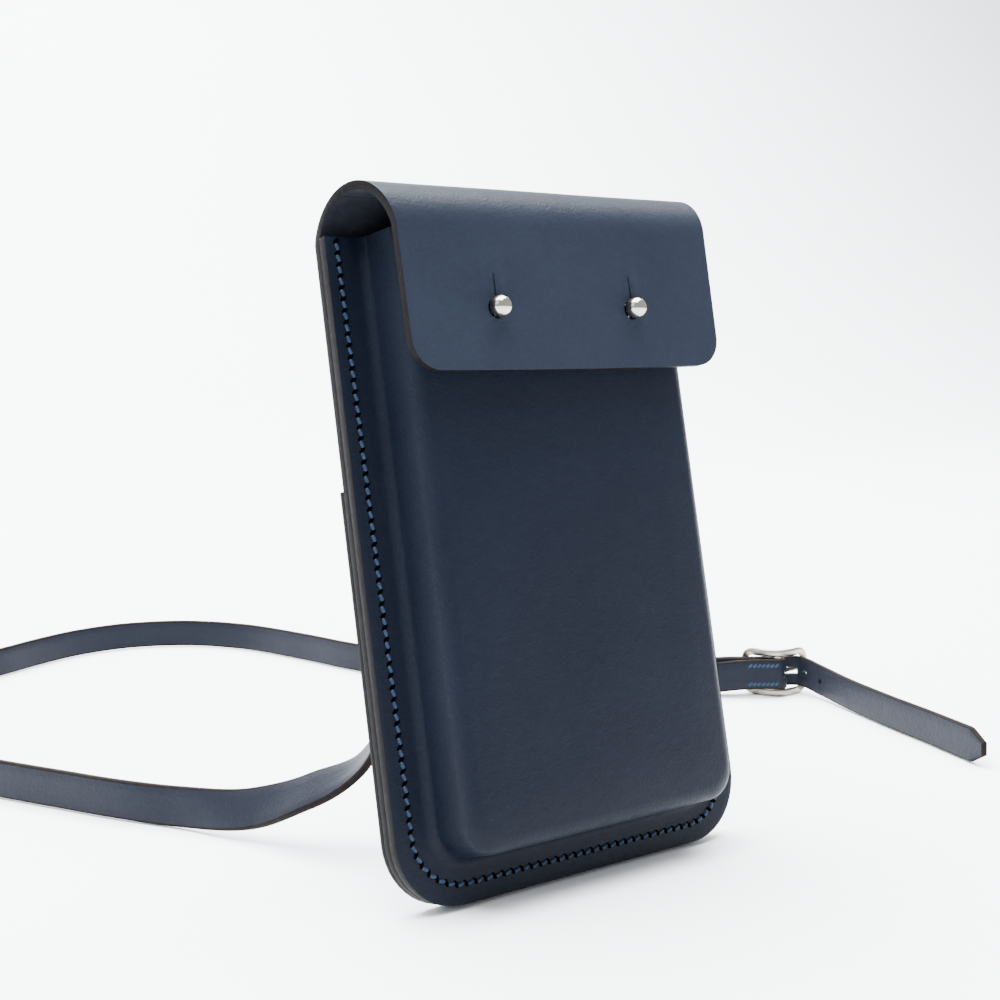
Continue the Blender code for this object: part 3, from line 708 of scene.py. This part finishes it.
def u_ring(inset, corner_steps=10):
    """Line down the left side, along the bottom and up the right, inset from the edge."""
    share = min(inset / RIDGE_INSET, 1.0)
    radius = CASE_CORNER + (BOX_CORNER - CASE_CORNER) * share
    if inset > RIDGE_INSET:
        radius = max(BOX_CORNER * (1 - (inset - RIDGE_INSET) / 44.0), 0.5)
    edge = CASE_WIDTH / 2 - inset
    legs = 9
    foot = inset + radius
    ring = [(-edge, SHELL_TOP + (foot - SHELL_TOP) * k / legs) for k in range(legs)]
    for k in range(corner_steps + 1):
        angle = math.pi + math.pi / 2 * k / corner_steps
        ring.append((-edge + radius + radius * math.cos(angle), foot + radius * math.sin(angle)))
    base = [(edge - radius) * (2 * k / 8 - 1) for k in range(1, 8)]
    mirrored = [(-u, v) for u, v in reversed(ring)]
    return ring + [(u, inset) for u in base] + mirrored


def walk(ring, pitch):
    """Evenly spaced (u, v, run_u, run_v) along a polyline."""
    spots = []
    left = pitch / 2
    for (u0, v0), (u1, v1) in zip(ring, ring[1:]):
        leg = math.hypot(u1 - u0, v1 - v0)
        if leg < 1e-9:
            continue
        while left <= leg:
            share = left / leg
            spots.append((u0 + (u1 - u0) * share, v0 + (v1 - v0) * share, (u1 - u0) / leg, (v1 - v0) / leg))
            left += pitch
        left -= leg
    return spots


def seam(name, depth_of, outward, node):
    """Saddle stitching round three sides; outward is 1 on the front and -1 on the rear."""
    ring = []
    for u, v in u_ring(STITCH_INSET):
        ring.append((u * (1 + 0.033 * (v / SHELL_TOP - 0.5)), min(v + 0.9 * bell(v, 20.0), SHELL_TOP - 0.5)))
    stitches = []
    holes = []
    out = case_direction(0.0, 0.0, outward)
    for index, (u, v, ru, rv) in enumerate(walk(ring, STITCH_PITCH / 2)):
        run = case_direction(ru, rv, 0.0)
        centre = place(u, v, depth_of(v))
        if index % 2:
            stitches.append((centre, run, out))
        else:
            holes.append((centre - out * 0.12 * MM, run, out))
    thread = make_object(name, *stitch_mesh(stitches, SEAM_STITCH, SEAM_TILT * outward), [THREAD])
    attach(thread, "case")
    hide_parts(node)
    # Near-black lumps with painted shade mark the pricked holes between the stitches.
    prick = make_object(name + "_holes", *stitch_mesh(holes, PRICKED_HOLE, HOLE_TILT * outward), [HOLE_SHADE])
    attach(prick, "case")


def rear_depth(v):
    return -GAP - POCKET_THICK if v < POCKET_TOP else 0.0


seam("seam_stitches_front", lambda v: FLANGE_FRONT, 1.0, "seam_thread_front")
seam("seam_stitches_rear", rear_depth, -1.0, "seam_thread_rear")

for side, word in ((1, "upper"), (-1, "lower")):
    spots = []
    for k in range(FOLD_STITCHES):
        along = FOLD_STITCH_START - FOLD_STITCH_PITCH * k
        run = (beside_buckle(1, 0, 0) - beside_buckle(0, 0, 0)).normalized()
        out = (beside_buckle(0, 1, 0) - beside_buckle(0, 0, 0)).normalized()
        spots.append((beside_buckle(along, FOLD_RADIUS + STRAP_THICK / 2, side * STITCH_ROW), run, out))
        spots.append((beside_buckle(along, -FOLD_RADIUS - STRAP_THICK / 2, side * STITCH_ROW), run, -out))
    row = make_object("fold_stitches_" + word, *stitch_mesh(spots, FOLD_STITCH, FOLD_TILT), [THREAD])
    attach(row, "case")
    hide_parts("fold_stitch_" + word)


def frame_path(per_corner=16, per_side=14):
    """Rounded rectangle of the buckle frame in (along, height)."""
    a = FRAME_HALF_LENGTH - FRAME_ROUND
    h = FRAME_HALF_HEIGHT - FRAME_ROUND
    path = []
    for turn, (along, height) in enumerate(((a, h), (-a, h), (-a, -h), (a, -h))):
        for k in range(per_corner + 1):
            angle = math.radians(90.0 * (turn + k / per_corner))
            path.append((along + FRAME_ROUND * math.cos(angle), height + FRAME_ROUND * math.sin(angle)))
        if turn in (0, 2):
            sign = 1 - turn
            path += [(sign * a * (1 - 2 * k / per_side), sign * FRAME_HALF_HEIGHT)
                     for k in range(1, per_side)]
    return path


def build_frame():
    """Bowed oval frame with a flattened band section."""
    path = frame_path()
    count = len(path)
    rings = []
    for i, (along, height) in enumerate(path):
        run = (Vector(path[(i + 1) % count]) - Vector(path[i - 1])).normalized()
        bow = -FRAME_BOW * (along / FRAME_HALF_LENGTH) ** 2
        ring = []
        for k in range(FRAME_SIDES):
            angle = 2 * math.pi * k / FRAME_SIDES
            across = FRAME_WIDE * math.copysign(abs(math.cos(angle)) ** FRAME_FLATNESS, math.cos(angle))
            through = FRAME_DEEP * math.copysign(abs(math.sin(angle)) ** FRAME_FLATNESS, math.sin(angle))
            ring.append(beside_buckle(along + run.y * across, bow + through, height - run.x * across))
        rings.append(ring)
    ring_item = make_object("buckle_oval", *loft(rings, True), [SATIN], None, 50.0)
    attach(ring_item, "buckle")
    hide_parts("buckle_frame")


build_frame()


# ---------------------------------------------------------------- case leather

def corner_half(full, radius, rise):
    if rise >= radius:
        return full
    return full - radius + math.sqrt(max(radius ** 2 - (radius - rise) ** 2, 0.0))


def corner_rises(radius, steps=12):
    return [radius * (1 - math.cos(math.pi / 2 * k / steps)) for k in range(steps + 1)]


def steps_between(start, end, step):
    count = max(1, int(abs(end - start) / step))
    return [start + (end - start) * k / count for k in range(1, count + 1)]


def leather_surface(u, v, w, out_v, out_w):
    """Slight hand-made unevenness: move a surface point along its outward direction."""
    swell = noise.noise(Vector((u * 0.03, v * 0.03, w * 0.03))) * 0.25
    return place(u, v + out_v * swell, w + out_w * swell)


SEAM_ANGLE = 75.0
BACK_COLUMNS = 61
FLAP_COLUMNS = 121


def curl_row(angle_deg, cols):
    """Outer and inner row of points across the curl, at an angle round it."""
    share = angle_deg / 180.0
    half = CASE_WIDTH / 2 + (FLAP_HALF - CASE_WIDTH / 2) * share
    angle = math.radians(angle_deg)
    rows = []
    for radius in (CURL_RADIUS, CURL_RADIUS - LEATHER):
        w = CURL_RADIUS - radius * math.cos(angle)
        v = CURL_BASE + radius * math.sin(angle)
        rows.append([leather_surface(FLAP_SHIFT * share - half + 2 * half * c / (cols - 1), v, w,
                                     math.sin(angle), -math.cos(angle)) for c in range(cols)])
    return rows


def build_back():
    heights = corner_rises(CASE_CORNER) + steps_between(CASE_CORNER, CURL_BASE, 8.0)[:-1]
    outer = []
    inner = []
    cols = BACK_COLUMNS
    for v in heights:
        half = corner_half(CASE_WIDTH / 2, CASE_CORNER, v)
        spread = [-half + 2 * half * c / (cols - 1) for c in range(cols)]
        outer.append([place(u, v, 0.0) for u in spread])
        inner.append([place(u, v, LEATHER) for u in spread])
    for angle in [SEAM_ANGLE * k / 15 for k in range(16)]:
        top, bottom = curl_row(angle, cols)
        if angle == 0.0:
            top = [place(p.x / MM, CURL_BASE, 0.0) for p in top]
            bottom = [place(p.x / MM, CURL_BASE, LEATHER) for p in bottom]
        outer.append(top)
        inner.append(bottom)
    points, faces, kinds = thick_grid(outer, inner)
    back = make_object("back_leather", points, faces, [PAINTED_LIGHT_GRAIN, FLESH, EDGE], kinds)
    soften(back, 0.45)
    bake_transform(back)
    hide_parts("back_panel", "flap_curl")


def flap_swell(u, v):
    """Leather pushed forward round each stud and along its slit, and dented beside it."""
    total = 0.0
    for side in (-1, 1):
        du = u - side * STUD_U
        dv = v - STUD_V
        total += 0.3 * bell(du, 6.0) * bell(dv - 1.0, 8.0)
        total += 0.5 * bell(du - 1.2, 1.8) * bell(dv - 7.0, 4.5)
        total -= 0.3 * bell(du + 1.4, 1.6) * bell(dv - 7.0, 4.5)
    return total


def build_flap():
    outer = []
    inner = []
    cols = FLAP_COLUMNS
    for angle in [SEAM_ANGLE + (180.0 - SEAM_ANGLE) * k / 21 for k in range(22)]:
        top, bottom = curl_row(angle, cols)
        outer.append(top)
        inner.append(bottom)
    heights = steps_between(CURL_BASE, FLAP_BOTTOM + FLAP_CORNER, 1.6)
    heights += [FLAP_BOTTOM + rise for rise in reversed(corner_rises(FLAP_CORNER))][1:]
    for v in heights:
        drop = (CURL_BASE - v) / (CURL_BASE - FLAP_BOTTOM)
        half = corner_half(FLAP_HALF - 0.5 * drop, FLAP_CORNER, v - FLAP_BOTTOM)
        front = []
        rear = []
        for c in range(cols):
            u = FLAP_SHIFT - half + 2 * half * c / (cols - 1)
            sag = -0.5 * drop ** 2 * (1 - (u / FLAP_HALF) ** 2)
            w = 2 * CURL_RADIUS + flap_swell(u, v) + 0.25 * noise.noise(Vector((u * 0.03, v * 0.03, 0.8)))
            front.append(place(u, v + sag, w))
            rear.append(place(u, v + sag, w - LEATHER))
        outer.append(front)
        inner.append(rear)
    points, faces, kinds = thick_grid(outer, inner)
    flap = make_object("flap_leather", points, faces, [PAINTED_LIGHT_GRAIN, FLESH, EDGE], kinds)
    soften(flap, 0.45)
    carve(flap, [keyhole(-STUD_U), keyhole(STUD_U)])
    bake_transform(flap)
    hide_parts("flap_front")


def keyhole(u):
    """Round hole for the stud's neck with a slit above it that the ball is pushed through."""
    radius = KEYHOLE_RADIUS
    slit = SLIT_HALF
    outline = []
    side = math.asin(slit / radius)
    for k in range(29):
        angle = math.pi / 2 + side + (2 * math.pi - 2 * side) * k / 28
        outline.append((u + radius * math.cos(angle), STUD_V - 0.2 + radius * math.sin(angle)))
    outline.append((u + slit * 0.6, STUD_V + radius + SLIT_LENGTH))
    outline.append((u - slit * 0.6, STUD_V + radius + SLIT_LENGTH))
    rings = [[place(a, v, w) for a, v in outline] for w in (2 * CURL_RADIUS - 6.0, 2 * CURL_RADIUS + 5.0)]
    return loft(rings)


def build_shell():
    """Moulded front: flat flange, soft crease, steep wall, rounded ridge and a gently crowned face."""
    corners = [(0.0, FLANGE_FRONT), (CREASE_INSET, FLANGE_FRONT), (RIDGE_INSET, BOX_FRONT - 0.4),
               (25.0, BOX_FRONT)]
    outer_path = rounded_path(corners, [3.0, 4.6], 9)
    outer_path[1:1] = [Vector((d, FLANGE_FRONT)) for d in (1.4, 2.8, 4.2, 5.6, 7.0)]
    outer_path += [Vector((d, BOX_FRONT)) for d in (29.0, 34.0, 39.0, 44.0, 49.0, 54.0, 57.9)]
    normals = path_normals(outer_path)
    inner_path = [p - n * SHELL_THICK for p, n in zip(outer_path, normals)]
    sides = []
    for path in (outer_path, inner_path):
        rows = []
        for p in path:
            row = []
            for u, v in u_ring(min(max(p.x, 0.0), 58.0)):
                w = p.y
                rise = min(max(w - FLANGE_FRONT - 1.0, 0.0) / (BOX_FRONT - FLANGE_FRONT - 1.0), 1.0)
                w += rise * 0.6 * bell(u, 45.0) * bell(v - 95.0, 90.0)
                w += rise * 0.15 * noise.noise(Vector((u * 0.025, v * 0.025, 3.1)))
                row.append(place(u, v, w))
            rows.append(row)
        sides.append(rows)
    points, faces, kinds = thick_grid(sides[0], sides[1])
    rows = len(outer_path)
    cols = len(sides[0][0])
    half = rows * cols
    edge = [(rows - 1) * cols + c for c in range(cols)]
    walls = {frozenset(pair) for pair in zip(edge, edge[1:])}
    kept = []
    kept_kinds = []
    for face, kind in zip(faces, kinds):
        low = [i for i in face if i < half]
        if len(low) == 2 and frozenset(low) in walls:
            continue
        kept.append(face)
        kept_kinds.append(kind)
    for c in range(cols // 2):
        a, b, d, e = edge[c], edge[c + 1], edge[cols - 2 - c], edge[cols - 1 - c]
        if len({a, b, d, e}) == 4:
            kept += [[a, b, d, e], [half + e, half + d, half + b, half + a]]
            kept_kinds += [0, 1]
        elif len({a, b, d, e}) == 3:
            three = sorted({a, b, e})
            kept += [three, [half + i for i in reversed(three)]]
            kept_kinds += [0, 1]
    kept.append([edge[0], edge[-1], half + edge[-1], half + edge[0]])
    kept_kinds.append(2)
    shell = make_object("front_leather", points, kept, [CASE_GRAIN, FLESH, EDGE], kept_kinds)
    soften(shell, 0.4)
    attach(shell, "case")
    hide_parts("front_shell")


def build_pocket():
    outer = []
    inner = []
    cols = 41
    for v in corner_rises(CASE_CORNER) + steps_between(CASE_CORNER, POCKET_TOP, 8.0):
        half = corner_half(CASE_WIDTH / 2, CASE_CORNER, v)
        spread = [-half + 2 * half * c / (cols - 1) for c in range(cols)]
        outer.append([place(u, v, -GAP - POCKET_THICK) for u in spread])
        inner.append([place(u, v, -0.05) for u in spread])
    points, faces, kinds = thick_grid(outer, inner)
    pocket = make_object("pocket_leather", points, faces, [PAINTED_LIGHT_GRAIN, FLESH, EDGE], kinds)
    soften(pocket, 0.3)
    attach(pocket, "case")
    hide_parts("card_pocket")


build_back()
build_flap()
build_shell()
build_pocket()


# ---------------------------------------------------------------- metal

def turned(name, u, v, profile, sides=48):
    rings = []
    for radius, w in profile:
        rings.append([place(u + radius * math.cos(a), v + radius * math.sin(a), w)
                      for a in [2 * math.pi * k / sides for k in range(sides)]])
    return make_object(name, *loft(rings), [NICKEL], None, 35.0)


def build_studs():
    base = BOX_FRONT + 0.75
    profile = [(1.2, BOX_FRONT - LEATHER), (1.2, base), (3.6, base), (3.6, base + 0.5), (3.2, base + 0.9),
               (1.7, base + 1.2), (1.5, base + 1.6), (1.5, 26.0)]
    start = math.pi - math.asin(1.5 / BALL_RADIUS)
    for k in range(0, 24):
        angle = start * (1 - k / 24)
        profile.append((BALL_RADIUS * math.sin(angle), BALL_CENTRE + BALL_RADIUS * math.cos(angle)))
    profile.append((0.12, BALL_CENTRE + BALL_RADIUS))
    for side, word in ((-1, "left"), (1, "right")):
        stud = turned("ball_stud_" + word, side * STUD_U, STUD_V, profile)
        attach(stud, "case")
        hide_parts("stud_head_" + word)


build_studs()


def smooth_group():
    tree = bpy.data.node_groups.new("smooth_shade", 'GeometryNodeTree')
    tree.interface.new_socket("Geometry", in_out='INPUT', socket_type='NodeSocketGeometry')
    tree.interface.new_socket("Geometry", in_out='OUTPUT', socket_type='NodeSocketGeometry')
    start = tree.nodes.new("NodeGroupInput")
    smooth = tree.nodes.new("GeometryNodeSetShadeSmooth")
    end = tree.nodes.new("NodeGroupOutput")
    tree.links.new(start.outputs[0], smooth.inputs["Geometry"])
    tree.links.new(smooth.outputs[0], end.inputs[0])
    return tree


SMOOTH_GROUP = smooth_group()


def finish_node(name, mat, bevel):
    """Give a carried-over CAD node its material, softened edges and smooth shading."""
    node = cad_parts[name]
    for slot_number in range(max(len(node.material_slots), 1)):
        if not node.material_slots:
            node.data.materials.append(mat)
        node.material_slots[slot_number].material = mat
    soft = node.modifiers.new("soft_edge", 'BEVEL')
    soft.width = bevel * MM
    soft.segments = BEVEL_STEPS
    soft.limit_method = 'ANGLE'
    soft.angle_limit = math.radians(SHARP_ANGLE)
    shade = node.modifiers.new("shade", 'NODES')
    shade.node_group = SMOOTH_GROUP
    node.modifiers.new("weigh", 'WEIGHTED_NORMAL')


for name in ("stud_screw_left", "stud_screw_right", "loop_rivet_lower", "loop_rivet_upper"):
    finish_node(name, NICKEL, 0.15)
finish_node("buckle_bar", SATIN, 0.15)
# The prong takes the nickel darkened with painted shade.
finish_node("buckle_prong", SHADED, 0.15)
finish_node("back_loop", PAINTED_LIGHT_GRAIN, 0.3)


# ---------------------------------------------------------------- studio

def build_floor():
    """Pale sweep: flat floor that curves up far behind."""
    rows = []
    for k in range(SWEEP_ROWS + 1):
        y = SWEEP_START + SWEEP_DEPTH * k / SWEEP_ROWS
        rise = max(y - SWEEP_RISE_FROM, 0.0)
        rows.append((y, SWEEP_RISE * rise ** 2))
    points = [Vector((x, y, z - SWEEP_BELOW)) for y, z in rows
              for x in (-SWEEP_HALF_WIDTH, SWEEP_HALF_WIDTH)]
    faces = [[2 * k, 2 * k + 1, 2 * k + 3, 2 * k + 2] for k in range(SWEEP_ROWS)]
    mesh = bpy.data.meshes.new("studio_floor")
    mesh.from_pydata(points, [], faces)
    s = Shader("paper")
    colour = s.ramp(s.noise(3.0, 2.0), [(0.3, (0.90, 0.915, 0.93)), (0.7, (0.92, 0.935, 0.95))])
    s.set(Base_Color=colour, Roughness=0.9, Specular_IOR_Level=0.1)
    s.bump([(s.noise(900.0, 3.0), 0.03, 0.0002)])
    mesh.materials.append(s.mat)
    mesh.shade_smooth()
    floor = bpy.data.objects.new("studio_floor", mesh)
    bpy.context.scene.collection.objects.link(floor)


def add_light(name, spot, target, size, power):
    data = bpy.data.lights.new(name, 'AREA')
    data.shape = 'RECTANGLE'
    data.size = size[0]
    data.size_y = size[1]
    data.energy = power
    data.color = (0.955, 0.98, 1.0)
    light = bpy.data.objects.new(name, data)
    bpy.context.scene.collection.objects.link(light)
    light.location = Vector(spot)
    light.rotation_euler = (Vector(target) - Vector(spot)).to_track_quat('-Z', 'Y').to_euler()


def build_studio():
    build_floor()
    world = bpy.data.worlds.new("studio")
    world.use_nodes = True
    back = world.node_tree.nodes["Background"]
    back.inputs["Color"].default_value = (0.94, 0.965, 1.0, 1.0)
    back.inputs["Strength"].default_value = WORLD_STRENGTH
    bpy.context.scene.world = world
    middle = (0.0, 0.0, 0.08)
    add_light("overhead", (-0.1, 0.5, 2.4), (0.0, 0.3, 0.0), (3.0, 3.0), OVERHEAD_POWER)
    add_light("wall_wash", (1.2, 1.0, 2.2), (1.4, 2.6, 0.9), (3.0, 1.2), WALL_POWER)
    add_light("left_box", (-1.3, -0.2, 0.9), middle, (0.7, 0.9), LEFT_POWER)


build_studio()
